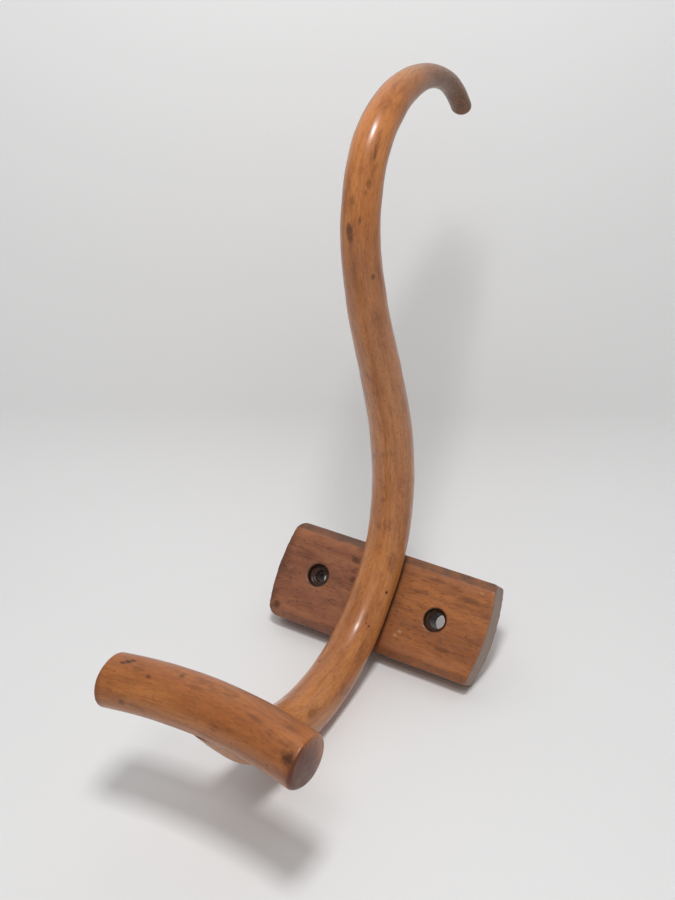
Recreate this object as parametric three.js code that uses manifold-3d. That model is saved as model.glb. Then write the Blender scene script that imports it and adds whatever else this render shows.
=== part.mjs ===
// Bentwood hat and coat hook: a steam-bent rod on a wooden wall block, with a short cross arm
// jointed across its lower end. Millimetres, +Z up, +X to the right along the wall. The wall is
// the plane Y = 0, and everything stands out from it towards -Y.
import * as THREE from 'three';
import Module from 'manifold-3d';
import { mergeVertices } from 'three/addons/utils/BufferGeometryUtils.js';

const wasm = await Module();
wasm.setup();

// ---- driving dimensions ------------------------------------------------------------------

const GAP = 0.3; // clearance between pieces that touch

// Wall block
const BLOCK_LENGTH = 142; // over the two rounded ends
const BLOCK_HEIGHT = 62;
const BLOCK_THICKNESS = 20;
const BLOCK_SHIFT = 1.2; // how far its middle lies to the right of the rod
const BLOCK_END_BULGE = 3.8; // how far each end's arc stands out past its corners
const LEFT_CORNER_ROUND = 5.5; // of the outline's two left corners
const RIGHT_CORNER_ROUND = 1.5;
const BEVEL_HEIGHT = 5.2; // bevel along the two long front edges, measured up the face
const BEVEL_DEPTH = 2.8; // and measured into the thickness
const BACK_CHAMFER = 0.8;

// Screw holes that hang the block on the wall
const LEFT_HOLE = { right: -41.8, height: 1.6, radius: 3.4 }; // right is measured from the rod
const RIGHT_HOLE = { right: 39.4, height: -0.7, radius: 4.75 };
const COUNTERBORE_RADIUS = 6.9;
const COUNTERBORE_DEPTH = 4.5;

// Rod
const LIMB_RADIUS = 14.2; // along the lower limb, up to the cross arm
const SEAT_RADIUS = 12.5; // where the rod crosses the block
const CREST_RADIUS = 9.5; // where the upper curve stands furthest from the wall
const NECK_RADIUS = 5.8; // where the upper curve turns back to the wall
const TIP_RADIUS = 5.7;
const TIP_FLATNESS = 0.88; // thickness of the tip as a share of its width
const SADDLE_DEPTH = 3; // how far the rod is let into the block
const JOINT_LAND = 10; // how far behind the cross arm's axis the rod stops
const JOINT_ROUND = 3; // rounding of the rod's end there

// Cross arm
const ARM_SPAN = 113.2; // between the centres of its end faces
const ARM_SHIFT = 1.1; // how far its middle lies to the right of the rod
const ARM_FACE_LEAN = 0.3; // share of its bend that the right end face follows; the left is upright
const ARM_RADIUS = 14.1;
const ARM_DROOP = 6.2; // how far its ends fall away from the middle
const ARM_TILT = THREE.MathUtils.degToRad(30); // turn of that fall from straight down to outwards
const ARM_END_DOME = 0.7;
const ARM_END_ROUND = 1.6;

// Fasteners
const SCREW_SPACING = 28; // between the two screws that hold the rod to the block
const SCREW_LENGTH = 33;
const SCREW_RADIUS = 2.1;
const SCREW_HEAD_RADIUS = 4.2;
const SCREW_HEAD_RIM = 0.4;
const SCREW_HEAD_HEIGHT = 2.6;
const SCREW_HEAD_INSET = 0.6; // below the block's back face
const SCREW_POINT = 6;
const SLOT_WIDTH = 1.1;
const SLOT_DEPTH = 1.2;
const DOWEL_RADIUS = 4;
const DOWEL_IN_ARM = 10; // reach into the arm, from its surface
const DOWEL_IN_ROD = 17; // reach into the rod, from the arm's surface
const DOWEL_CHAMFER = 0.8;

// Centre line of the rod in the plane X = 0. Each bend is [distance out, height], measured
// from the point where the rod crosses the middle of the block.
const LOWER_BENDS = [
  [152.5, -75.5], [124, -83.5], [96, -88.5], [66, -85.5], [38, -71.5], [17, -51], [4, -26],
];
const UPPER_BENDS = [
  [3, 30], [23, 63], [55, 91], [97, 115], [141, 138], [175, 164],
  [192, 196], [187, 224], [166, 249], [137, 263.2], [115, 264.3], [108, 263],
];
const FULL_LIMB_BEND = 3; // the lower bend where the rod reaches its full limb size
const TAPER_BEND = 1; // the upper bend where the rod starts to thin
const CREST_BEND = 6; // the upper bend that stands furthest out
const NECK_BEND = 9; // the upper bend where the rod has thinned to its neck
const FLATTENING_BEND = 7; // the upper bend where the tip starts to flatten

// Facets
const BAR_SIDES = 28;
const SMALL_SIDES = 20;
const ARC_STEPS = 14;
const END_STEPS = 4;
const RING_STEP = 8; // between rings along a bent bar
const STEPS_PER_BEND = 60;
const OVERRUN = 2; // how far a cutter runs past the surface that it opens

const UP = new THREE.Vector3(0, 0, 1);
const OUTWARDS = new THREE.Vector3(0, -1, 0);
const SIDEWAYS = new THREE.Vector3(1, 0, 0);

// ---- solids ------------------------------------------------------------------------------

function toSolid(geometry) {
  const bare = geometry.clone();
  bare.deleteAttribute('normal');
  bare.deleteAttribute('uv');
  const merged = mergeVertices(bare, 1e-4);
  const mesh = new wasm.Mesh({
    numProp: 3,
    vertProperties: new Float32Array(merged.attributes.position.array),
    triVerts: new Uint32Array(merged.index.array),
  });
  return new wasm.Manifold(mesh);
}

function toGeometry(solid) {
  const { vertProperties, triVerts } = solid.getMesh();
  const geometry = new THREE.BufferGeometry();
  geometry.setAttribute('position', new THREE.BufferAttribute(vertProperties, 3));
  geometry.setIndex(new THREE.BufferAttribute(triVerts, 1));
  geometry.computeVertexNormals();
  return geometry;
}

// A body turned about the Y axis from [radius, height along the axis] pairs.
function turned(profile, sides) {
  return new THREE.LatheGeometry(profile.map(([r, y]) => new THREE.Vector2(r, y)), sides);
}

// Half the outline of a bar's end, from the axis to the side: a shallow dome, then a round.
function endOutline(radius, round, dome) {
  const outline = [[0, 0]];
  const steps = round > 0 ? END_STEPS : 0;
  for (let k = 0; k <= steps; k += 1) {
    const angle = steps > 0 ? (k / steps) * Math.PI / 2 : 0;
    const inset = round * (1 - Math.sin(angle));
    const depth = dome + round * (1 - Math.cos(angle));
    outline.push([radius - inset, depth]);
  }
  return outline;
}

// A straight turned bar, bent along a plane curve. It starts `from` along the curve. Positions
// along it are lengths from the curve's start. Each end has a [round, dome] pair. Its sections
// are square to sectionNormalAt, which is the curve's own direction on a steam-bent bar.
function bentBar({
  curve, planeNormal, sectionNormalAt, radiusAt, flatnessAt, from, startEnd, finishEnd,
}) {
  const total = curve.getLength();
  const start = endOutline(radiusAt(from), ...startEnd).map(([r, d]) => [r, from + d]);
  const finish = endOutline(radiusAt(total), ...finishEnd).map(([r, d]) => [r, total - d]).reverse();
  const first = start.at(-1)[1];
  const last = finish[0][1];
  const rings = Math.ceil((last - first) / RING_STEP);
  const profile = [...start];
  for (let k = 1; k < rings; k += 1) {
    const along = first + (last - first) * (k / rings);
    profile.push([radiusAt(along), along]);
  }
  profile.push(...finish);

  const geometry = turned(profile, BAR_SIDES);
  const position = geometry.attributes.position;
  const vertex = new THREE.Vector3();
  for (let i = 0; i < position.count; i += 1) {
    vertex.fromBufferAttribute(position, i);
    const share = THREE.MathUtils.clamp(vertex.y / total, 0, 1);
    const across = new THREE.Vector3().crossVectors(planeNormal, sectionNormalAt(share)).normalize();
    const bent = curve.getPointAt(share)
      .addScaledVector(planeNormal, vertex.x)
      .addScaledVector(across, vertex.z * flatnessAt(vertex.y));
    position.setXYZ(i, bent.x, bent.y, bent.z);
  }
  return geometry;
}

function part(name, geometry, color, roughness, metalness = 0) {
  const mesh = new THREE.Mesh(geometry, new THREE.MeshStandardMaterial({ color, roughness, metalness }));
  mesh.name = name;
  return mesh;
}

// The body of a geometry as the mesh that shows it is placed.
function placedSolid(geometry, mesh) {
  mesh.updateMatrix();
  return toSolid(geometry.clone().applyMatrix4(mesh.matrix));
}

// ---- rod ---------------------------------------------------------------------------------

const seatOut = BLOCK_THICKNESS + SEAT_RADIUS - SADDLE_DEPTH;
const rodPoints = [...LOWER_BENDS, [0, 0], ...UPPER_BENDS].map(
  ([out, height]) => new THREE.Vector3(0, -(seatOut + out), height),
);
const rodCurve = new THREE.CatmullRomCurve3(rodPoints, false, 'centripetal');
rodCurve.arcLengthDivisions = STEPS_PER_BEND * (rodPoints.length - 1);

const lengthAtBend = (index) => rodCurve.getLengths()[index * STEPS_PER_BEND];
const limbEnd = lengthAtBend(FULL_LIMB_BEND);
const seatAt = lengthAtBend(LOWER_BENDS.length);
const taperAt = lengthAtBend(LOWER_BENDS.length + 1 + TAPER_BEND);
const crestAt = lengthAtBend(LOWER_BENDS.length + 1 + CREST_BEND);
const neckAt = lengthAtBend(LOWER_BENDS.length + 1 + NECK_BEND);
const flatteningAt = lengthAtBend(LOWER_BENDS.length + 1 + FLATTENING_BEND);
const rodLength = rodCurve.getLength();

function blend(along, from, to, startValue, endValue) {
  return THREE.MathUtils.lerp(startValue, endValue, THREE.MathUtils.smoothstep(along, from, to));
}

function rodRadiusAt(along) {
  if (along < seatAt) return blend(along, limbEnd, seatAt, LIMB_RADIUS, SEAT_RADIUS);
  if (along < crestAt) return blend(along, taperAt, crestAt, SEAT_RADIUS, CREST_RADIUS);
  if (along < neckAt) return blend(along, crestAt, neckAt, CREST_RADIUS, NECK_RADIUS);
  return blend(along, neckAt, rodLength, NECK_RADIUS, TIP_RADIUS);
}

function rodFlatnessAt(along) {
  return blend(along, flatteningAt, rodLength, 1, TIP_FLATNESS);
}

function rodBar(grow) {
  return bentBar({
    curve: rodCurve,
    planeNormal: SIDEWAYS,
    sectionNormalAt: (share) => rodCurve.getTangentAt(share),
    radiusAt: (along) => rodRadiusAt(along) + grow,
    flatnessAt: rodFlatnessAt,
    from: JOINT_LAND,
    startEnd: [JOINT_ROUND, 0],
    finishEnd: [TIP_RADIUS * 0.8, 0],
  });
}

// ---- cross arm ---------------------------------------------------------------------------

const armMiddle = rodPoints[0];
const droop = new THREE.Vector3()
  .addScaledVector(UP, -Math.cos(ARM_TILT))
  .addScaledVector(OUTWARDS, Math.sin(ARM_TILT))
  .multiplyScalar(ARM_DROOP);
const armPoint = (right) => armMiddle.clone().addScaledVector(SIDEWAYS, ARM_SHIFT + right);
const armCurve = new THREE.QuadraticBezierCurve3(
  armPoint(-ARM_SPAN / 2).add(droop),
  armPoint(0).sub(droop),
  armPoint(ARM_SPAN / 2).add(droop),
);

function armBar(grow) {
  return bentBar({
    curve: armCurve,
    planeNormal: new THREE.Vector3().crossVectors(SIDEWAYS, droop).normalize(),
    sectionNormalAt: (share) => SIDEWAYS.clone().lerp(armCurve.getTangentAt(share), ARM_FACE_LEAN * share),
    radiusAt: () => ARM_RADIUS + grow,
    flatnessAt: () => 1,
    from: 0,
    startEnd: [ARM_END_ROUND, ARM_END_DOME],
    finishEnd: [ARM_END_ROUND, ARM_END_DOME],
  });
}

// ---- fasteners ---------------------------------------------------------------------------

function screwBody(grow, headRoom) {
  const radius = SCREW_RADIUS + grow;
  const headRadius = SCREW_HEAD_RADIUS + grow;
  return turned([
    [0, -headRoom],
    [headRadius, -headRoom],
    [headRadius, SCREW_HEAD_RIM],
    [radius, SCREW_HEAD_HEIGHT],
    [radius, SCREW_LENGTH - SCREW_POINT],
    [radius / 2, SCREW_LENGTH + grow],
    [0, SCREW_LENGTH + grow],
  ], SMALL_SIDES);
}

function screw(name, height) {
  const slot = new THREE.BoxGeometry(2 * SCREW_HEAD_RADIUS + 2 * OVERRUN, 2 * SLOT_DEPTH, SLOT_WIDTH);
  const body = toSolid(screwBody(0, 0)).subtract(toSolid(slot));
  const mesh = part(name, toGeometry(body), 0x8d8779, 0.45, 0.9);
  mesh.quaternion.setFromUnitVectors(new THREE.Vector3(0, 1, 0), OUTWARDS);
  mesh.position.set(0, -SCREW_HEAD_INSET, height);
  return mesh;
}

function dowelBody(grow) {
  const radius = DOWEL_RADIUS + grow;
  const length = DOWEL_IN_ARM + DOWEL_IN_ROD;
  const chamfer = DOWEL_CHAMFER;
  return turned([
    [0, -grow],
    [radius - chamfer, -grow],
    [radius, chamfer - grow],
    [radius, length - chamfer + grow],
    [radius - chamfer, length + grow],
    [0, length + grow],
  ], SMALL_SIDES);
}

const screws = [
  screw('rod_screw_upper', SCREW_SPACING / 2),
  screw('rod_screw_lower', -SCREW_SPACING / 2),
];

const intoRod = rodCurve.getTangentAt(0);
const dowel = part('arm_dowel', dowelBody(0), 0xc99b66, 0.7);
dowel.quaternion.setFromUnitVectors(new THREE.Vector3(0, 1, 0), intoRod);
dowel.position.copy(armMiddle).addScaledVector(intoRod, ARM_RADIUS - DOWEL_IN_ARM);

// ---- wall block --------------------------------------------------------------------------

function blockFrontOutline() {
  const half = BLOCK_HEIGHT / 2;
  const corner = BLOCK_LENGTH / 2 - BLOCK_END_BULGE;
  const arcRadius = (half ** 2 + BLOCK_END_BULGE ** 2) / (2 * BLOCK_END_BULGE);
  const arcCentre = BLOCK_LENGTH / 2 - arcRadius;
  const outline = new THREE.Shape();
  for (const [side, round] of [[1, RIGHT_CORNER_ROUND], [-1, LEFT_CORNER_ROUND]]) {
    const facing = side > 0 ? 0 : Math.PI;
    const sweep = Math.asin((half - round) / arcRadius);
    const [x, inner] = [side * corner, side * (corner - round)];
    if (side > 0) outline.moveTo(inner, -half);
    else outline.lineTo(inner, half);
    const arcStart = side * (half - round);
    const reach = side * (arcCentre + arcRadius * Math.cos(sweep));
    outline.quadraticCurveTo(x, -side * half, reach, -arcStart);
    outline.absarc(side * arcCentre, 0, arcRadius, facing - sweep, facing + sweep, false);
    outline.quadraticCurveTo(x, side * half, inner, side * half);
  }
  outline.closePath();
  return outline;
}

// Outline seen from the block's end: [distance out from the wall, height].
function blockEndOutline() {
  const half = BLOCK_HEIGHT / 2;
  const upperEdge = [
    [BLOCK_THICKNESS, half - BEVEL_HEIGHT],
    [BLOCK_THICKNESS - BEVEL_DEPTH, half],
    [BACK_CHAMFER, half],
    [0, half - BACK_CHAMFER],
  ];
  const lowerEdge = upperEdge.map(([out, height]) => [out, -height]).reverse();
  const corners = [...upperEdge, ...lowerEdge].map(([out, height]) => new THREE.Vector2(out, height));
  return new THREE.Shape(corners);
}

function screwHole({ right, height, radius }) {
  const floor = OVERRUN + BLOCK_THICKNESS - COUNTERBORE_DEPTH;
  const mouth = 2 * OVERRUN + BLOCK_THICKNESS;
  const cutter = turned([
    [0, 0],
    [radius, 0],
    [radius, floor],
    [COUNTERBORE_RADIUS, floor],
    [COUNTERBORE_RADIUS, mouth],
    [0, mouth],
  ], BAR_SIDES);
  const turn = new THREE.Quaternion().setFromUnitVectors(new THREE.Vector3(0, 1, 0), OUTWARDS);
  return toSolid(cutter.applyQuaternion(turn).translate(right, OVERRUN, height));
}

function blockSolid() {
  const front = new THREE.ExtrudeGeometry(blockFrontOutline(), {
    depth: BLOCK_THICKNESS, bevelEnabled: false, curveSegments: ARC_STEPS,
  });
  front.rotateX(Math.PI / 2);
  const end = new THREE.ExtrudeGeometry(blockEndOutline(), { depth: BLOCK_LENGTH, bevelEnabled: false });
  end.applyMatrix4(new THREE.Matrix4().makeBasis(OUTWARDS, UP, SIDEWAYS.clone().negate()));
  end.translate(BLOCK_LENGTH / 2, 0, 0);
  let block = toSolid(front).intersect(toSolid(end)).translate([BLOCK_SHIFT, 0, 0]);
  block = block.subtract(toSolid(rodBar(GAP)));
  for (const hole of [LEFT_HOLE, RIGHT_HOLE]) block = block.subtract(screwHole(hole));
  for (const each of screws) block = block.subtract(placedSolid(screwBody(GAP, OVERRUN), each));
  return block;
}

// ---- finished pieces ---------------------------------------------------------------------

let rod = toSolid(rodBar(0)).subtract(toSolid(armBar(GAP))).subtract(placedSolid(dowelBody(GAP), dowel));
for (const each of screws) rod = rod.subtract(placedSolid(screwBody(GAP, 0), each));
const arm = toSolid(armBar(0)).subtract(placedSolid(dowelBody(GAP), dowel));

const hook = new THREE.Group();
hook.add(
  part('wall_block', toGeometry(blockSolid()), 0x96542f, 0.5),
  part('hook_rod', toGeometry(rod), 0xb06d38, 0.35),
  part('cross_arm', toGeometry(arm), 0xb87440, 0.35),
  ...screws,
  dowel,
);

export default hook;
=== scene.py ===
import math

import bmesh
import bpy
import numpy as np
from mathutils import Euler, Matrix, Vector


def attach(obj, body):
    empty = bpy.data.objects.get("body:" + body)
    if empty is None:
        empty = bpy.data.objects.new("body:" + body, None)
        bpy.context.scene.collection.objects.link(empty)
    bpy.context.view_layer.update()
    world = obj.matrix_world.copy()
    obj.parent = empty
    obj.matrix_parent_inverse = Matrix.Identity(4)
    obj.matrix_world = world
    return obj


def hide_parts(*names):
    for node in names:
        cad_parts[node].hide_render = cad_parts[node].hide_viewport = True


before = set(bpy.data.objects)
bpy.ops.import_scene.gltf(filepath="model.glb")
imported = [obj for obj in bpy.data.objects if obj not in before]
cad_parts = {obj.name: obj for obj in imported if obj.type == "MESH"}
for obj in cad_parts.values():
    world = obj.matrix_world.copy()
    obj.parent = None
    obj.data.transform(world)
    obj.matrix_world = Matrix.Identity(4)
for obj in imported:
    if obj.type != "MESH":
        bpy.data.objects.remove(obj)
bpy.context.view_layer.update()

MM = 0.001

# ---- sizes shared with the CAD -------------------------------------------------------------

GAP = 0.3 * MM
BLOCK_THICKNESS = 20 * MM
BLOCK_HEIGHT = 62 * MM
LIMB_RADIUS = 14.2 * MM
SEAT_RADIUS = 12.5 * MM
CREST_RADIUS = 9.5 * MM
NECK_RADIUS = 5.8 * MM
TIP_RADIUS = 5.7 * MM
TIP_FLATNESS = 0.88
SADDLE_DEPTH = 3 * MM
ARM_SPAN = 113.2 * MM
ARM_SHIFT = 1.1 * MM
ARM_FACE_LEAN = 0.3
ARM_RADIUS = 14.1 * MM
ARM_DROOP = 6.2 * MM
ARM_TILT = math.radians(30)
ARM_END_DOME = 0.7 * MM
ARM_END_ROUND = 1.6 * MM
ARM_END_WORN = 2.6 * MM
HOLE_CENTRES = [(-41.8 * MM, 1.6 * MM), (39.4 * MM, -0.7 * MM)]
COUNTERBORE_RADIUS = 6.9 * MM

# Centre line of the rod: [distance out, height] from where it crosses the block.
LOWER_BENDS = [
    (152.5, -75.5), (124, -83.5), (96, -88.5), (66, -85.5), (38, -71.5), (17, -51), (4, -26),
]
UPPER_BENDS = [
    (3, 30), (23, 63), (55, 91), (97, 115), (141, 138), (175, 164),
    (192, 196), (187, 224), (166, 249), (137, 263.2), (115, 264.3), (108, 263),
]
FULL_LIMB_BEND, TAPER_BEND, CREST_BEND, NECK_BEND, FLATTENING_BEND = 3, 1, 6, 9, 7

# ---- mesh detail ---------------------------------------------------------------------------

STEPS_PER_BEND = 200
BAR_SIDES = 96
BAR_STEP = 1.2 * MM
CAP_RINGS = 10
EDGE_RINGS = 8
ARM_LINE_POINTS = 801
CROSSING_HALVINGS = 24
BLOCK_VOXEL = 0.75 * MM
COARSE_STRIDE = 4
PLACES_AT_ONCE = 4000
TIP_ROUND = 0.8 * TIP_RADIUS
TIP_LAST_RING = 0.6
WELL_CLEAR_OF_ARM = 40 * MM
WELD_DISTANCE = 0.01 * MM

X = np.array([1.0, 0.0, 0.0])


def unit(vectors):
    return vectors / np.linalg.norm(vectors, axis=-1, keepdims=True)


def smoothstep(value, low, high):
    t = np.clip((value - low) / (high - low), 0, 1)
    return t * t * (3 - 2 * t)


class Line:
    """A densely sampled curve that is read by length from its start."""

    def __init__(self, points):
        self.points = points
        steps = np.linalg.norm(np.diff(points, axis=0), axis=1)
        self.lengths = np.r_[0, np.cumsum(steps)]
        self.total = self.lengths[-1]
        self.tangents = unit(np.gradient(points, self.lengths, axis=0))

    def at(self, along):
        return np.stack([np.interp(along, self.lengths, self.points[:, k]) for k in range(3)], -1)

    def tangent(self, along):
        turned = [np.interp(along, self.lengths, self.tangents[:, k]) for k in range(3)]
        return unit(np.stack(turned, -1))

    def nearest(self, places):
        """Length along the curve and distance from it, for each place."""
        along = np.empty(len(places))
        away = np.empty(len(places))
        coarse = self.points[::COARSE_STRIDE]
        for first in range(0, len(places), PLACES_AT_ONCE):
            batch = slice(first, first + PLACES_AT_ONCE)
            part = places[batch]
            distances = np.linalg.norm(part[:, None] - coarse[None], axis=2)
            near = distances.argmin(1) * COARSE_STRIDE
            slip = ((part - self.points[near]) * self.tangents[near]).sum(1)
            along[batch] = self.lengths[near] + slip
            away[batch] = distances.min(1)
        return along, away


def centripetal(points, steps):
    """A centripetal Catmull-Rom curve through the points."""
    padded = np.vstack([2 * points[0] - points[1], points, 2 * points[-1] - points[-2]])
    t = np.linspace(0, 1, steps, endpoint=False)[:, None]
    pieces = []
    for a, b, c, d in zip(padded, padded[1:], padded[2:], padded[3:]):
        ab, bc, cd = (math.sqrt(np.linalg.norm(q - p)) for p, q in ((a, b), (b, c), (c, d)))
        leave = ((b - a) / ab - (c - a) / (ab + bc) + (c - b) / bc) * bc
        arrive = ((c - b) / bc - (d - b) / (bc + cd) + (d - c) / cd) * bc
        pieces.append(
            b + leave * t + (3 * (c - b) - 2 * leave - arrive) * t**2
            + (2 * (b - c) + leave + arrive) * t**3
        )
    return np.vstack([*pieces, points[-1:]])


seat_out = BLOCK_THICKNESS + SEAT_RADIUS - SADDLE_DEPTH
rod_points = np.array(
    [(0, -(seat_out + out * MM), up * MM) for out, up in [*LOWER_BENDS, (0, 0), *UPPER_BENDS]]
)
rod_line = Line(centripetal(rod_points, STEPS_PER_BEND))


def length_at(bend):
    return rod_line.lengths[bend * STEPS_PER_BEND]


seat_bend = len(LOWER_BENDS)
limb_at = length_at(FULL_LIMB_BEND)
seat_at = length_at(seat_bend)
taper_at, crest_at, neck_at, flattening_at = (
    length_at(seat_bend + 1 + bend) for bend in (TAPER_BEND, CREST_BEND, NECK_BEND, FLATTENING_BEND)
)


def rod_radius(along):
    radius = LIMB_RADIUS + (SEAT_RADIUS - LIMB_RADIUS) * smoothstep(along, limb_at, seat_at)
    radius = radius + (CREST_RADIUS - SEAT_RADIUS) * smoothstep(along, taper_at, crest_at)
    radius = radius + (NECK_RADIUS - CREST_RADIUS) * smoothstep(along, crest_at, neck_at)
    return radius + (TIP_RADIUS - NECK_RADIUS) * smoothstep(along, neck_at, rod_line.total)


def rod_flatness(along):
    return 1 + (TIP_FLATNESS - 1) * smoothstep(along, flattening_at, rod_line.total)


arm_middle = rod_points[0]
droop = ARM_DROOP * np.array([0, -math.sin(ARM_TILT), -math.cos(ARM_TILT)])


def arm_point(right):
    return arm_middle + X * (ARM_SHIFT + right)


def quadratic(a, b, c, steps):
    t = np.linspace(0, 1, steps)[:, None]
    return a * (1 - t) ** 2 + 2 * b * t * (1 - t) + c * t**2


arm_line = Line(quadratic(
    arm_point(-ARM_SPAN / 2) + droop,
    arm_point(0) - droop,
    arm_point(ARM_SPAN / 2) + droop,
    ARM_LINE_POINTS,
))
arm_side = unit(np.cross(X, droop))


# ---- meshes --------------------------------------------------------------------------------

def value_noise(places, scale, seed):
    """Smooth noise from -1 to 1 at each place, repeatable from its seed."""
    rng = np.random.default_rng(seed)
    size = 32
    grid = rng.uniform(-1, 1, (size, size, size))
    cell = places / scale
    low = np.floor(cell).astype(int)
    t = cell - low
    t = t * t * (3 - 2 * t)
    total = np.zeros(len(places))
    for corner in np.ndindex(2, 2, 2):
        weight = np.prod(np.where(np.array(corner) == 1, t, 1 - t), axis=1)
        index = (low + corner) % size
        total += weight * grid[index[:, 0], index[:, 1], index[:, 2]]
    return total


def bar_mesh(name, rings):
    """A closed mesh from rings of points, the first and last of which close to one point each."""
    count = len(rings) - 2
    sides = BAR_SIDES
    places = np.vstack([*rings[1:-1], rings[0], rings[-1]])
    faces = []
    for k in range(count - 1):
        for j in range(sides):
            i = (j + 1) % sides
            faces.append((k * sides + j, k * sides + i, (k + 1) * sides + i, (k + 1) * sides + j))
    start = count * sides
    finish = start + 1
    for j in range(sides):
        i = (j + 1) % sides
        faces.append((start, i, j))
        faces.append((finish, (count - 1) * sides + j, (count - 1) * sides + i))
    mesh = bpy.data.meshes.new(name)
    mesh.from_pydata(places.tolist(), [], faces)
    work = bmesh.new()
    work.from_mesh(mesh)
    bmesh.ops.recalc_face_normals(work, faces=work.faces)
    work.to_mesh(mesh)
    work.free()
    mesh.shade_smooth()
    return mesh


angles = np.linspace(0, 2 * math.pi, BAR_SIDES, endpoint=False)


def rod_ring(along, radius):
    """One ring round the rod. along and radius are numbers or one value for each side."""
    along = np.broadcast_to(along, angles.shape)
    across = np.cross(X, rod_line.tangent(along))
    flat = rod_flatness(along)
    return (
        rod_line.at(along)
        + X * (radius * np.sin(angles))[:, None]
        + across * (radius * flat * np.cos(angles))[:, None]
    )


def arm_surface_crossing(radius):
    """For each side, the length along the rod at which a line at this radius leaves the arm."""
    low = np.zeros(BAR_SIDES)
    high = np.full(BAR_SIDES, WELL_CLEAR_OF_ARM)
    for _ in range(CROSSING_HALVINGS):
        middle = (low + high) / 2
        places = rod_ring(middle, radius)
        share = np.interp(places[:, 0], arm_line.points[:, 0], np.arange(len(arm_line.points)))
        centre = arm_line.points[np.round(share).astype(int)]
        inside = np.linalg.norm((places - centre)[:, 1:], axis=1) < ARM_RADIUS + GAP
        low = np.where(inside, middle, low)
        high = np.where(inside, high, middle)
    return high


def make_rod():
    """The bent rod. It starts on the arm's surface and ends in the rounded tip."""
    joint = [rod_ring(arm_surface_crossing(0), 0)[:1]]
    edge = arm_surface_crossing(rod_radius(np.full(BAR_SIDES, 10 * MM)))
    for k in range(1, CAP_RINGS + 1):
        radius = rod_radius(edge) * (k / CAP_RINGS)
        joint.append(rod_ring(arm_surface_crossing(radius), radius))
    body_from = edge.max() + BAR_STEP
    body_to = rod_line.total - TIP_ROUND
    body = np.linspace(body_from, body_to, int((body_to - body_from) / BAR_STEP))
    lead = [rod_ring(edge + (body_from - edge) * t, rod_radius(edge)) for t in (0.25, 0.5, 0.75)]
    rings = joint + lead + [rod_ring(along, rod_radius(along)) for along in body]
    for k in range(1, CAP_RINGS):
        a = k / CAP_RINGS * math.pi / 2
        along = body_to + TIP_ROUND * math.sin(a)
        inset = TIP_ROUND * (1 - math.cos(a))
        rings.append(rod_ring(along, TIP_RADIUS - inset))
    rings.append(rod_ring(rod_line.total, (TIP_RADIUS - TIP_ROUND) * TIP_LAST_RING))
    rings.append(rod_line.at(np.array([rod_line.total])))
    return bar_mesh("hook_rod_wood", rings)


def arm_ring(along, radius):
    """One ring round the arm. along and radius are numbers or one value for each side."""
    along = np.broadcast_to(along, angles.shape)
    lean = (ARM_FACE_LEAN * along / arm_line.total)[:, None]
    normal = unit(X * (1 - lean) + arm_line.tangent(along) * lean)
    across = unit(np.cross(arm_side, normal))
    return (
        arm_line.at(along)
        + arm_side * (radius * np.sin(angles))[:, None]
        + across * (radius * np.cos(angles))[:, None]
    )


def arm_end(far):
    """Rings of one end, from its centre outwards. The far end is worn rounder below."""
    edge_round = np.full(BAR_SIDES, ARM_END_ROUND)
    if far:
        outward = arm_ring(arm_line.total, 1) - arm_ring(arm_line.total, 0)
        edge_round += ARM_END_WORN * np.clip(-outward[:, 2], 0, 1) ** 2
    rings = []
    for k in range(1, CAP_RINGS + 1):
        share = k / CAP_RINGS
        depth = ARM_END_DOME * share**2
        rings.append((depth, (ARM_RADIUS - edge_round) * share))
    for k in range(1, EDGE_RINGS + 1):
        a = k / EDGE_RINGS * math.pi / 2
        rings.append((
            ARM_END_DOME + edge_round * (1 - math.cos(a)),
            ARM_RADIUS - edge_round * (1 - math.sin(a)),
        ))
    if far:
        return [arm_ring(arm_line.total - depth, radius) for depth, radius in reversed(rings)]
    return [arm_ring(depth, radius) for depth, radius in rings]


def make_arm():
    """The bent cross arm, from its left end face to its right one."""
    near_edge = ARM_END_DOME + ARM_END_ROUND + BAR_STEP
    far_edge = ARM_END_DOME + ARM_END_ROUND + ARM_END_WORN + BAR_STEP
    body = np.linspace(near_edge, arm_line.total - far_edge, int(arm_line.total / BAR_STEP))
    rings = [arm_line.at(np.array([0.0])), *arm_end(False)]
    rings += [arm_ring(along, ARM_RADIUS) for along in body]
    rings += [*arm_end(True), arm_line.at(np.array([arm_line.total]))]
    return bar_mesh("cross_arm_wood", rings)


def make_block():
    """The CAD block as an even, fine mesh with its edges eased as handling eases them."""
    source = bpy.data.objects.new("block_source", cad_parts["wall_block"].data.copy())
    bpy.context.scene.collection.objects.link(source)
    welded = bmesh.new()
    welded.from_mesh(source.data)
    bmesh.ops.remove_doubles(welded, verts=welded.verts, dist=WELD_DISTANCE)
    welded.to_mesh(source.data)
    welded.free()
    remesh = source.modifiers.new("even", "REMESH")
    remesh.mode = "VOXEL"
    remesh.voxel_size = BLOCK_VOXEL
    ease = source.modifiers.new("ease", "SMOOTH")
    ease.factor = 0.5
    ease.iterations = 4
    bpy.context.view_layer.update()
    shaped = source.evaluated_get(bpy.context.evaluated_depsgraph_get())
    mesh = bpy.data.meshes.new_from_object(shaped)
    bpy.data.objects.remove(source)
    mesh.materials.clear()
    mesh.name = "wall_block_wood"
    mesh.shade_smooth()
    return mesh


def places_of(mesh):
    flat = np.empty(len(mesh.vertices) * 3)
    mesh.vertices.foreach_get("co", flat)
    return flat.reshape(-1, 3)


def normals_of(mesh):
    flat = np.empty(len(mesh.vertices) * 3)
    mesh.vertex_normals.foreach_get("vector", flat)
    return flat.reshape(-1, 3)


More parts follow.
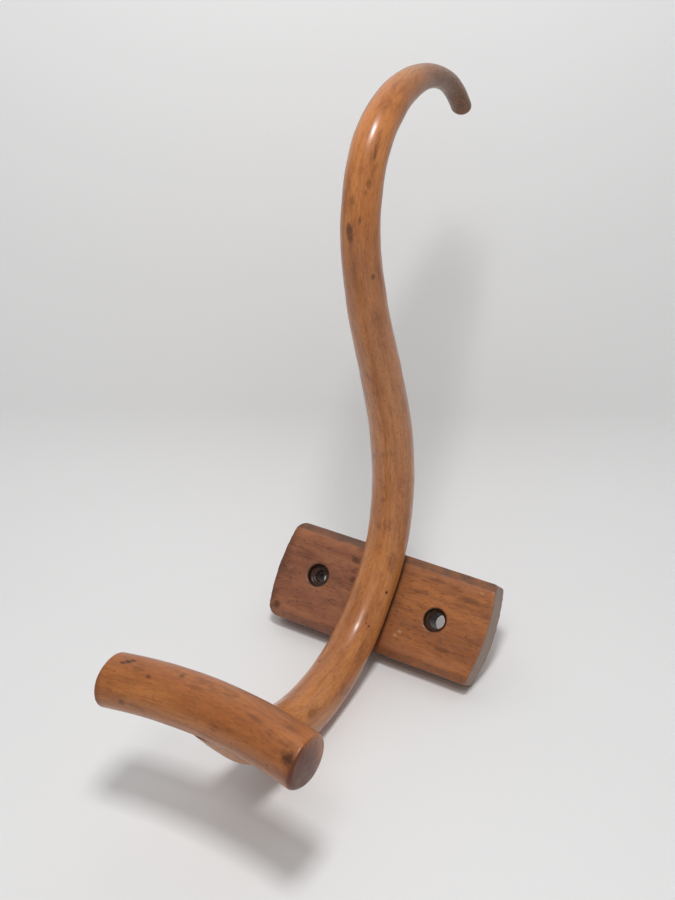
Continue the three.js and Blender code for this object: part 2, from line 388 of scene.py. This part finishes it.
def move(mesh, offset):
    """Shifts each point along its normal."""
    mesh.vertices.foreach_set("co", (places_of(mesh) + normals_of(mesh) * offset[:, None]).ravel())
    mesh.update()


def paint(mesh, name, values):
    kind, key = ("FLOAT_VECTOR", "vector") if values.ndim == 2 else ("FLOAT", "value")
    attribute = mesh.attributes.new(name, kind, "POINT")
    attribute.data.foreach_set(key, values.astype(np.float32).ravel())


def make_piece(name, mesh, node):
    piece = bpy.data.objects.new(name, mesh)
    bpy.context.scene.collection.objects.link(piece)
    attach(piece, "root")
    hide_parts(node)
    return piece


def unbent(line, places, side):
    """Coordinates along and across a bent bar, so that its grain follows the bend."""
    along, away = line.nearest(places)
    tangent = line.tangent(along)
    offset = places - line.at(along)
    across = unit(np.cross(side, tangent))
    return np.stack([offset @ side, (offset * across).sum(1), along], 1)


# ---- wood ----------------------------------------------------------------------------------

class Graph:
    """Short names for the node tree of one material."""

    def __init__(self, name):
        self.material = bpy.data.materials.new(name)
        self.material.use_nodes = True
        self.tree = self.material.node_tree
        self.shader = self.tree.nodes["Principled BSDF"]

    def join(self, value, socket):
        if isinstance(value, bpy.types.NodeSocket):
            self.tree.links.new(value, socket)
        else:
            socket.default_value = value

    def attribute(self, name, output="Fac"):
        node = self.tree.nodes.new("ShaderNodeAttribute")
        node.attribute_name = name
        return node.outputs[output]

    def math(self, operation, a, b=0.0):
        node = self.tree.nodes.new("ShaderNodeMath")
        node.operation = operation
        self.join(a, node.inputs[0])
        self.join(b, node.inputs[1])
        return node.outputs[0]

    def stretch(self, vector, scale, warp=None):
        node = self.tree.nodes.new("ShaderNodeVectorMath")
        node.operation = "MULTIPLY_ADD"
        self.join(vector, node.inputs[0])
        node.inputs[1].default_value = scale
        self.join(warp if warp is not None else (0, 0, 0), node.inputs[2])
        return node.outputs[0]

    def noise(self, vector, detail=3.0, roughness=0.55, colour=False):
        node = self.tree.nodes.new("ShaderNodeTexNoise")
        node.inputs["Scale"].default_value = 1.0
        node.inputs["Detail"].default_value = detail
        node.inputs["Roughness"].default_value = roughness
        self.join(vector, node.inputs["Vector"])
        return node.outputs["Color" if colour else "Fac"]

    def length(self, vector):
        node = self.tree.nodes.new("ShaderNodeVectorMath")
        node.operation = "LENGTH"
        self.join(vector, node.inputs[0])
        return node.outputs["Value"]

    def between(self, value, low, high, to_low=0.0, to_high=1.0):
        node = self.tree.nodes.new("ShaderNodeMapRange")
        node.interpolation_type = "SMOOTHSTEP"
        self.join(value, node.inputs["Value"])
        node.inputs["From Min"].default_value = low
        node.inputs["From Max"].default_value = high
        node.inputs["To Min"].default_value = to_low
        node.inputs["To Max"].default_value = to_high
        return node.outputs["Result"]

    def mix(self, share, a, b, blend="MIX"):
        node = self.tree.nodes.new("ShaderNodeMix")
        node.data_type = "RGBA"
        node.blend_type = blend
        self.join(share, node.inputs[0])
        self.join(a, node.inputs[6])
        self.join(b, node.inputs[7])
        return node.outputs[2]


def rgb(red, green, blue):
    """A linear colour from display values of 0 to 255."""
    def linear(value):
        value /= 255
        return value / 12.92 if value <= 0.04045 else ((value + 0.055) / 1.055) ** 2.4
    return (linear(red), linear(green), linear(blue), 1.0)


MARK_TONE = rgb(58, 30, 18)
SHADE_AND_DARKENING_TONE = rgb(40, 22, 14)
CHIP_AND_GLINT_TONE = rgb(206, 160, 116)
MARK_CORE, MARK_EDGE = 0.45, 1.65
BUMP_STRENGTH = 0.4
BUMP_DEPTH = 0.12 * MM


def mark_share(g, grain, ragged, marks):
    """How far each point lies inside ragged-edged marks that are drawn out along the grain."""
    total = 0.0
    for centre, reach, stretch, strength in marks:
        scale = np.array([1, 1, 1 / stretch]) / (reach * MM)
        inside = g.length(g.stretch(grain, tuple(scale), tuple(-centre * scale)))
        share = g.between(g.math("ADD", inside, ragged), MARK_CORE, MARK_EDGE, strength, 0.0)
        total = g.math("MAXIMUM", total, share)
    return total


def wood(name, tones, marks, chips_and_glints, patch_share, fleck_share, gloss, coat):
    """Oiled and handled beech, streaked along its grain. Rates are cycles per metre.

    tones: dark, middle, light, blotch, end grain, worn, and a tint that warms the base colour.
    """
    dark, middle, light, blotch, end, worn, warm = tones
    g = Graph(name)
    grain = g.attribute("grain", "Vector")
    sway = g.noise(g.stretch(grain, (60, 60, 9)), 2.0, colour=True)
    drift = g.stretch(sway, (0.8, 0.8, 0.2))
    broad = g.noise(g.stretch(grain, (60, 60, 14), drift), 4.0)
    band = g.noise(g.stretch(grain, (240, 240, 15), drift), 4.0)
    streak = g.noise(g.stretch(grain, (700, 700, 80), drift), 4.0, 0.6)
    fleck = g.noise(g.stretch(grain, (1300, 1300, 330), drift), 3.0, 0.6)
    pale_fleck = g.noise(g.stretch(grain, (900, 900, 170), sway), 3.0, 0.6)
    patch = g.noise(g.stretch(grain, (140, 140, 60), drift), 5.0, 0.62)
    crumble = g.noise(g.stretch(grain, (900, 900, 500)), 3.0)
    ragged = g.math("MULTIPLY", g.math("SUBTRACT", crumble, 0.5), 1.3)

    colour = g.mix(g.between(broad, 0.34, 0.66), middle, light)
    colour = g.mix(g.attribute("warm"), colour, warm, "MULTIPLY")
    colour = g.mix(g.between(band, 0.44, 0.70, 0.0, 0.32), colour, dark)
    colour = g.mix(g.between(streak, 0.46, 0.66, 0.0, 0.30), colour, dark)
    colour = g.mix(g.between(patch, 0.50, 0.74, 0.0, patch_share), colour, blotch)
    colour = g.mix(g.between(pale_fleck, 0.56, 0.68, 0.0, 0.35), colour, light)
    colour = g.mix(g.between(fleck, 0.54, 0.66, 0.0, fleck_share), colour, blotch)
    colour = g.mix(g.math("MULTIPLY", g.attribute("endgrain"), 0.9), colour, end)
    colour = g.mix(g.attribute("wear"), colour, worn)
    # Rubbed lighter wood, and a painted glint along the block's right end edge.
    rub_and_glint = g.math("MULTIPLY", g.attribute("rub_and_glint"), g.between(patch, 0.40, 0.56))
    colour = g.mix(rub_and_glint, colour, light)
    colour = g.mix(mark_share(g, grain, ragged, marks), colour, MARK_TONE)
    # Painted shade: darkens the contact seams, the screw holes and the rod's tip, along with other
    # darker places.
    shade_and_darkening = g.math("MULTIPLY", g.attribute("shade_and_darkening"), g.between(ragged, -0.35, 0.25, 0.75, 1.0))
    colour = g.mix(shade_and_darkening, colour, SHADE_AND_DARKENING_TONE)
    # Pale chips, with painted glints among them.
    chip_and_glint = mark_share(g, grain, ragged, chips_and_glints)
    colour = g.mix(chip_and_glint, colour, CHIP_AND_GLINT_TONE)
    g.join(colour, g.shader.inputs["Base Color"])

    smear = g.noise(g.stretch(grain, (210, 210, 90)), 4.0)
    rough = g.between(smear, 0.3, 0.7, gloss, gloss + 0.16)
    rough = g.math("ADD", rough, g.math("MULTIPLY", g.attribute("wear"), 0.25))
    rough = g.math("ADD", rough, g.math("MULTIPLY", shade_and_darkening, 0.3))
    rough = g.math("ADD", rough, g.math("MULTIPLY", g.attribute("endgrain"), 0.15))
    g.join(rough, g.shader.inputs["Roughness"])
    g.shader.inputs["Specular IOR Level"].default_value = 0.3
    g.shader.inputs["Coat Weight"].default_value = coat
    g.shader.inputs["Coat Roughness"].default_value = 0.20
    g.shader.inputs["IOR"].default_value = 1.5

    height = g.math("ADD", g.math("MULTIPLY", streak, 0.6), g.math("MULTIPLY", fleck, -0.5))
    height = g.math("ADD", height, g.math("MULTIPLY", smear, 0.9))
    height = g.math("ADD", height, g.math("MULTIPLY", chip_and_glint, -0.8))
    bump = g.tree.nodes.new("ShaderNodeBump")
    bump.inputs["Strength"].default_value = BUMP_STRENGTH
    bump.inputs["Distance"].default_value = BUMP_DEPTH
    g.join(height, bump.inputs["Height"])
    g.join(bump.outputs["Normal"], g.shader.inputs["Normal"])
    return g.material


# ---- pieces --------------------------------------------------------------------------------

rod = make_piece("hook_rod_wood", make_rod(), "hook_rod")
arm = make_piece("cross_arm_wood", make_arm(), "cross_arm")
block = make_piece("wall_block_wood", make_block(), "wall_block")

# The surfaces are slightly uneven. The block's is set back too, so its bumps clear the rod.
BAR_DENT = 0.12 * MM
BAR_DENT_WIDTH = 9 * MM
BLOCK_DENT = 0.10 * MM
BLOCK_DENT_WIDTH = 12 * MM
BLOCK_PITTING = 0.05 * MM
BLOCK_PITTING_WIDTH = 3 * MM
BLOCK_SET_BACK = 0.1 * MM

rod_places, arm_places, block_places = (places_of(piece.data) for piece in (rod, arm, block))
move(rod.data, BAR_DENT * value_noise(rod_places, BAR_DENT_WIDTH, 11))
move(arm.data, BAR_DENT * value_noise(arm_places, BAR_DENT_WIDTH, 12))
block_dents = BLOCK_DENT * value_noise(block_places, BLOCK_DENT_WIDTH, 13)
block_dents += BLOCK_PITTING * value_noise(block_places, BLOCK_PITTING_WIDTH, 14)
move(block.data, block_dents - BLOCK_SET_BACK)

# Dark marks on the bars: millimetres along from the first end, degrees round,
# half width in millimetres, how far drawn out along the grain, strength.
ROD_MARKS = [
    (148, -30, 0.8, 1.5, 0.85), (209, 60, 0.9, 1.1, 0.95), (185, 45, 0.65, 1.2, 0.85),
    (186, 35, 0.5, 1.2, 0.65), (273, 0, 1.2, 1.6, 0.3), (457, -5, 1.7, 1.5, 0.7),
    (454, 0, 1.5, 1.5, 0.65), (434, 60, 0.9, 1.5, 0.65), (478, 40, 1.0, 1.9, 0.5),
    (474, 35, 0.5, 2.6, 0.4), (462, 25, 0.7, 2.2, 0.5), (492, 45, 0.9, 4.0, 0.4),
    (470, 0, 1.0, 2.0, 0.35),
]
ARM_MARKS = [
    (12, -106, 1.0, 1.6, 0.85), (14, -112, 0.8, 1.8, 0.75), (10, -101, 0.8, 1.8, 0.75),
    (26, -85, 1.0, 1.3, 0.6), (41, -110, 1.4, 1.0, 0.6), (14, -20, 1.4, 1.2, 0.55),
    (8, -80, 0.4, 1.0, 0.7), (79, -25, 0.5, 1.2, 0.5), (110, -60, 2.8, 1.0, 0.85),
    (107, -65, 1.6, 1.2, 0.5), (85, -90, 0.9, 5.0, 0.45), (101, -25, 0.6, 1.2, 0.6),
    (19, -95, 1.5, 1.8, 0.35), (51, -95, 1.2, 3.0, 0.3),
]
# The same on the block's front: millimetres right of the rod and up, then as above.
BLOCK_MARKS = [
    (-62, -24, 2.2, 1.0, 0.75), (50, -16, 1.2, 4.0, 0.45), (-21, 18, 1.7, 1.5, 0.65),
    (-18, 6, 1.6, 1.5, 0.6), (-20, 11, 1.2, 1.6, 0.45), (33, 22, 1.0, 5.0, 0.4),
    (56, 17, 1.6, 3.5, 0.4), (-55, 12, 2.6, 2.4, 0.3), (24, 12, 1.0, 5.0, 0.4),
]
# Pale chips on the block's front with painted glints among them, in the same columns.
BLOCK_CHIPS_AND_GLINTS = [(21, -14, 0.8, 1.6, 0.5), (19, -17, 0.7, 2.0, 0.45), (62, 23, 0.6, 2.5, 0.4)]


def on_bar(marks, radius_at):
    """Marks on a bar, with their places in its straightened grain."""
    placed = []
    for along, turn, *shape in marks:
        a = math.radians(turn)
        radius = radius_at(along * MM)
        placed.append((np.array([radius * math.sin(a), radius * math.cos(a), along * MM]), *shape))
    return placed


def on_block(marks):
    return [
        (np.array([height * MM, -BLOCK_THICKNESS, to_right * MM]), *shape)
        for to_right, height, *shape in marks
    ]


def finish_bar(piece, line, places, side, ends, shade_and_darkening):
    """Paints what the wood material reads. Only the block is worn, rubbed, given a painted glint or
    warmed.
    """
    paint(piece.data, "grain", unbent(line, places, side))
    paint(piece.data, "shade_and_darkening", shade_and_darkening)
    for unused in ("wear", "rub_and_glint", "warm"):
        paint(piece.data, unused, np.zeros(len(places)))
    paint(piece.data, "endgrain", ends)


# Painted shade on the rod: a contact shadow beside the block and shade over the tip. The rod is also
# darker where it meets the arm.
_, arm_away = arm_line.nearest(rod_places)
seam_shadow = np.exp(-(((rod_places[:, 1] + BLOCK_THICKNESS) / (1.2 * MM)) ** 2))
seam_shadow *= abs(rod_places[:, 2]) < BLOCK_HEIGHT / 2
joint = 0.5 * np.exp(-np.maximum(0, arm_away - ARM_RADIUS - GAP) / (1.0 * MM))
rod_along, _ = rod_line.nearest(rod_places)
# Painted shade over the tip.
tip_shade = 0.75 * smoothstep(rod_along, crest_at + 5 * MM, rod_line.total - 35 * MM)
rod_shade_and_darkening = np.maximum(0.8 * np.maximum(seam_shadow, joint), tip_shade)
finish_bar(rod, rod_line, rod_places, X, np.zeros(len(rod_places)), rod_shade_and_darkening)

# End grain on the arm: stronger on the right face, which shows.
arm_along, _ = arm_line.nearest(arm_places)
end_reach = np.minimum(arm_along, arm_line.total - arm_along)
arm_ends = 1 - smoothstep(end_reach, 0.2 * MM, 2.4 * MM)
arm_ends *= np.where(arm_places[:, 0] > 0, 1.0, 0.4)
finish_bar(arm, arm_line, arm_places, arm_side, arm_ends, np.zeros(len(arm_places)))

RIM_WIDTH = 0.8 * MM

# Painted shade on the block: a contact shadow round the rod and shade inside the screw holes. There is
# also a dark ring round each hole's rim, and the block is darker towards the left end.
_, rod_away = rod_line.nearest(block_places)
rod_gap = np.clip(rod_away - SEAT_RADIUS, 0, None)
normals = normals_of(block.data)
on_front = block_places[:, 1] < -BLOCK_THICKNESS + 1.2 * MM
in_front = block_places[:, 1] < -2 * MM
lumps = value_noise(block_places, 6 * MM, 21)
fine_lumps = value_noise(block_places, 2.2 * MM, 22)

block_shade_and_darkening = 0.9 * np.exp(-rod_gap / (1.6 * MM)) + 0.30 * np.exp(-rod_gap / (7.0 * MM))
hollow = np.zeros(len(block_places))
behind_front = block_places[:, 1] > -BLOCK_THICKNESS + 0.6 * MM
for right_of_rod, height in HOLE_CENTRES:
    away = np.hypot(block_places[:, 0] - right_of_rod, block_places[:, 2] - height)
    hollow = np.maximum(hollow, (away < COUNTERBORE_RADIUS + RIM_WIDTH) & behind_front)
    rim = np.exp(-(((away - COUNTERBORE_RADIUS) / RIM_WIDTH) ** 2)) * on_front
    block_shade_and_darkening = np.maximum(block_shade_and_darkening, 0.7 * rim * (0.8 + 0.4 * fine_lumps))
# Painted shade inside the screw holes.
block_shade_and_darkening = np.maximum(block_shade_and_darkening, hollow)
left_edge = smoothstep(-block_places[:, 0], 61 * MM, 69 * MM) * in_front
block_shade_and_darkening = np.maximum(block_shade_and_darkening, left_edge * (0.45 + 0.35 * lumps))

# Worn bevels, a rubbed band inside them, a painted glint along the right end's edge, end grain with a
# painted reflection, and a warmer right half.
height_share = abs(block_places[:, 2]) / (BLOCK_HEIGHT / 2)
bevel = smoothstep(abs(normals[:, 2]), 0.15, 0.45) * in_front * (hollow < 0.5)
upper = np.where(block_places[:, 2] > 0, 1.0, 0.45)
block_wear = upper * bevel * (0.62 + 0.34 * lumps + 0.2 * fine_lumps)
toward_end = abs(normals[:, 0])
on_right = block_places[:, 0] > 0
end_edge_glint = smoothstep(toward_end, 0.25, 0.5) * (1 - smoothstep(toward_end, 0.75, 0.95))
band = smoothstep(height_share, 0.62, 0.76) * (1 - smoothstep(height_share, 0.83, 0.88)) * on_front
block_rub_and_glint = np.maximum(0.9 * band * (0.6 + 0.5 * lumps), 0.8 * end_edge_glint * on_right * in_front)
block_end_grain_and_sheen = smoothstep(toward_end, 0.6, 0.9) * (hollow < 0.5)
block_warm = smoothstep(block_places[:, 0], -22 * MM, 22 * MM)
paint(block.data, "grain", block_places[:, [2, 1, 0]])
paint(block.data, "shade_and_darkening", np.clip(block_shade_and_darkening, 0, 1))
paint(block.data, "wear", np.clip(block_wear, 0, 1))
paint(block.data, "rub_and_glint", np.clip(block_rub_and_glint, 0, 1))
paint(block.data, "warm", block_warm)
paint(block.data, "endgrain", block_end_grain_and_sheen)

# Tones in the order that wood() takes them.
NO_TINT = (1, 1, 1, 1)
rod_tones = (
    rgb(134, 76, 40), rgb(174, 108, 58), rgb(198, 130, 74), rgb(104, 54, 30),
    rgb(120, 84, 58), rgb(150, 116, 92), NO_TINT,
)
arm_tones = (
    rgb(122, 68, 34), rgb(158, 92, 46), rgb(182, 114, 60), rgb(90, 46, 26),
    rgb(92, 42, 18), rgb(150, 116, 92), NO_TINT,
)
# The block's end-grain tone is a pale grey: end grain with a painted reflection on the end faces.
block_tones = (
    rgb(106, 60, 42), rgb(138, 86, 62), rgb(166, 108, 74), rgb(76, 42, 30),
    rgb(136, 112, 96), rgb(96, 70, 56), (1.16, 1.04, 0.62, 1),
)
rod.data.materials.append(wood(
    "rod_wood", rod_tones, on_bar(ROD_MARKS, rod_radius), [],
    patch_share=0.55, fleck_share=0.34, gloss=0.28, coat=0.45,
))
arm.data.materials.append(wood(
    "arm_wood", arm_tones, on_bar(ARM_MARKS, lambda along: ARM_RADIUS), [],
    patch_share=0.55, fleck_share=0.34, gloss=0.32, coat=0.35,
))
block.data.materials.append(wood(
    "block_wood", block_tones, on_block(BLOCK_MARKS), on_block(BLOCK_CHIPS_AND_GLINTS),
    patch_share=0.36, fleck_share=0.50, gloss=0.34, coat=0.25,
))

dowel_tones = (
    rgb(170, 130, 84), rgb(196, 156, 106), rgb(212, 174, 124), rgb(150, 112, 72),
    rgb(180, 140, 96), rgb(180, 140, 96), NO_TINT,
)
dowel_wood = wood(
    "dowel_wood", dowel_tones, [], [],
    patch_share=0.3, fleck_share=0.3, gloss=0.55, coat=0.0,
)


def screw_steel():
    """Dull steel with rust spots and fine upright scratches."""
    g = Graph("screw_steel")
    place = g.tree.nodes.new("ShaderNodeTexCoord").outputs["Object"]
    scratch = g.noise(g.stretch(place, (4000, 4000, 300)), 3.0)
    rust = g.noise(g.stretch(place, (700, 700, 700)), 4.0)
    rusted = g.between(rust, 0.5, 0.68, 0.0, 0.7)
    g.join(g.mix(rusted, rgb(150, 145, 136), rgb(92, 66, 48)), g.shader.inputs["Base Color"])
    g.join(g.between(scratch, 0.3, 0.7, 0.32, 0.55), g.shader.inputs["Roughness"])
    g.shader.inputs["Metallic"].default_value = 0.9
    return g.material


def dress(node_name, material):
    """Gives a CAD node that is kept as it is its material."""
    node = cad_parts[node_name]
    node.material_slots[0].link = "OBJECT"
    node.material_slots[0].material = material


steel = screw_steel()
dress("rod_screw_upper", steel)
dress("rod_screw_lower", steel)
dress("arm_dowel", dowel_wood)

# ---- table, backdrop, light and camera -----------------------------------------------------

CAMERA_AT = Vector((0.24415, -0.66866, -0.00350))
CAMERA_TURN = Euler([math.radians(a) for a in (97.126, -19.304, 22.596)])
CAMERA_LENS = 45.03

camera = bpy.data.objects.new("camera", bpy.data.cameras.new("camera"))
camera.location = CAMERA_AT
camera.rotation_euler = CAMERA_TURN
camera.data.lens = CAMERA_LENS
camera.data.sensor_width = 36
bpy.context.scene.collection.objects.link(camera)
bpy.context.scene.camera = camera

# The table touches the block's lower back edge and the underside of the rod. Its tilt is found
# by halving the range until both are equally low.
TILT_HALVINGS = 40


def lowest(places, tilt):
    return (places[:, 1:] @ np.array([-math.sin(tilt), math.cos(tilt)])).min()


low_tilt = math.radians(20)
high_tilt = math.radians(60)
for _ in range(TILT_HALVINGS):
    tilt = (low_tilt + high_tilt) / 2
    if lowest(rod_places, tilt) < lowest(block_places, tilt):
        low_tilt = tilt
    else:
        high_tilt = tilt
table_up = Vector((0, -math.sin(tilt), math.cos(tilt)))
table_at = table_up * lowest(block_places, tilt)

forward = CAMERA_TURN.to_matrix() @ Vector((0, 0, -1))
ahead = (forward - forward.dot(table_up) * table_up).normalized()
right = ahead.cross(table_up).normalized()
camera_height = (CAMERA_AT - table_at).dot(table_up)
foot = CAMERA_AT - table_up * camera_height

FLOOR_REACH = 0.615
SWEEP_RADIUS = 0.085
WALL_HEIGHT = 1.6
WALL_LEAN = math.radians(88)
FLOOR_BEHIND = 0.8
STAGE_HALF_WIDTH = 1.3
FLOOR_STEPS = 12
SWEEP_STEPS = 32

# The stage's outline from the side: distance ahead of the camera's foot, and rise.
profile = [(-FLOOR_BEHIND, 0.0)]
profile += [(FLOOR_REACH * k / FLOOR_STEPS, 0.0) for k in range(FLOOR_STEPS + 1)]
for k in range(1, SWEEP_STEPS + 1):
    a = k / SWEEP_STEPS * WALL_LEAN
    profile.append((FLOOR_REACH + SWEEP_RADIUS * math.sin(a), SWEEP_RADIUS * (1 - math.cos(a))))
sweep_reach, sweep_rise = profile[-1]
profile.append((
    sweep_reach + WALL_HEIGHT * math.cos(WALL_LEAN), sweep_rise + WALL_HEIGHT * math.sin(WALL_LEAN),
))
stage_places = []
for distance, rise in profile:
    middle = foot + ahead * distance + table_up * rise
    for side in (-1, 1):
        stage_places.append(middle + right * side * STAGE_HALF_WIDTH)
stage_faces = [(2 * k, 2 * k + 1, 2 * k + 3, 2 * k + 2) for k in range(len(profile) - 1)]
stage_mesh = bpy.data.meshes.new("table_and_backdrop")
stage_mesh.from_pydata([tuple(p) for p in stage_places], [], stage_faces)
stage_mesh.shade_smooth()
stage = bpy.data.objects.new("table_and_backdrop", stage_mesh)
bpy.context.scene.collection.objects.link(stage)

# White paper that is only seen from the front, so that views from behind see the object.
PAPER_WHITE = 0.845
paper = bpy.data.materials.new("paper")
paper.use_nodes = True
tree = paper.node_tree
paper_shader = tree.nodes["Principled BSDF"]
paper_shader.inputs["Base Color"].default_value = (PAPER_WHITE, PAPER_WHITE, PAPER_WHITE, 1)
paper_shader.inputs["Roughness"].default_value = 0.75
paper_shader.inputs["Specular IOR Level"].default_value = 0.2
open_back = tree.nodes.new("ShaderNodeBsdfTransparent")
facing = tree.nodes.new("ShaderNodeNewGeometry")
choose = tree.nodes.new("ShaderNodeMixShader")
tree.links.new(facing.outputs["Backfacing"], choose.inputs[0])
tree.links.new(paper_shader.outputs[0], choose.inputs[1])
tree.links.new(open_back.outputs[0], choose.inputs[2])
tree.links.new(choose.outputs[0], tree.nodes["Material Output"].inputs["Surface"])
stage_mesh.materials.append(paper)


def soft_light(name, place, target, size, power):
    light = bpy.data.lights.new(name, "AREA")
    light.shape = "SQUARE"
    light.size = size
    light.energy = power
    lamp = bpy.data.objects.new(name, light)
    lamp.location = place
    lamp.rotation_euler = (target - place).to_track_quat("-Z", "Y").to_euler()
    bpy.context.scene.collection.objects.link(lamp)


# Two lamps above the table, placed by trial for the photograph's shadows and highlights.
OVERHEAD_DISTANCE = 0.80
OVERHEAD_TO_RIGHT = 0.157
OVERHEAD_TOWARD_FRONT = 0.286
OVERHEAD_SIZE = 0.14
OVERHEAD_POWER = 3.15
CEILING_HEIGHT = 1.35
CEILING_TO_LEFT = 0.17
CEILING_BEHIND_CAMERA = 0.23
CEILING_SIZE = 0.28
CEILING_POWER = 2.3
ROOM_LIGHT = 0.335

aim = Vector((0, -0.10, 0))
crest = Vector((0, -0.20, 0.26))
table_away = Vector((0, math.cos(tilt), math.sin(tilt)))
overhead = table_up + Vector((OVERHEAD_TO_RIGHT, 0, 0)) - table_away * OVERHEAD_TOWARD_FRONT
overhead_at = aim + overhead.normalized() * OVERHEAD_DISTANCE
ceiling_at = foot + table_up * CEILING_HEIGHT - right * CEILING_TO_LEFT - ahead * CEILING_BEHIND_CAMERA
soft_light("overhead", overhead_at, aim, OVERHEAD_SIZE, OVERHEAD_POWER)
soft_light("ceiling", ceiling_at, crest, CEILING_SIZE, CEILING_POWER)

world = bpy.data.worlds.new("studio")
world.use_nodes = True
world.node_tree.nodes["Background"].inputs["Color"].default_value = (1, 1, 1, 1)
world.node_tree.nodes["Background"].inputs["Strength"].default_value = ROOM_LIGHT
bpy.context.scene.world = world
bpy.context.scene.view_settings.view_transform = "Standard"
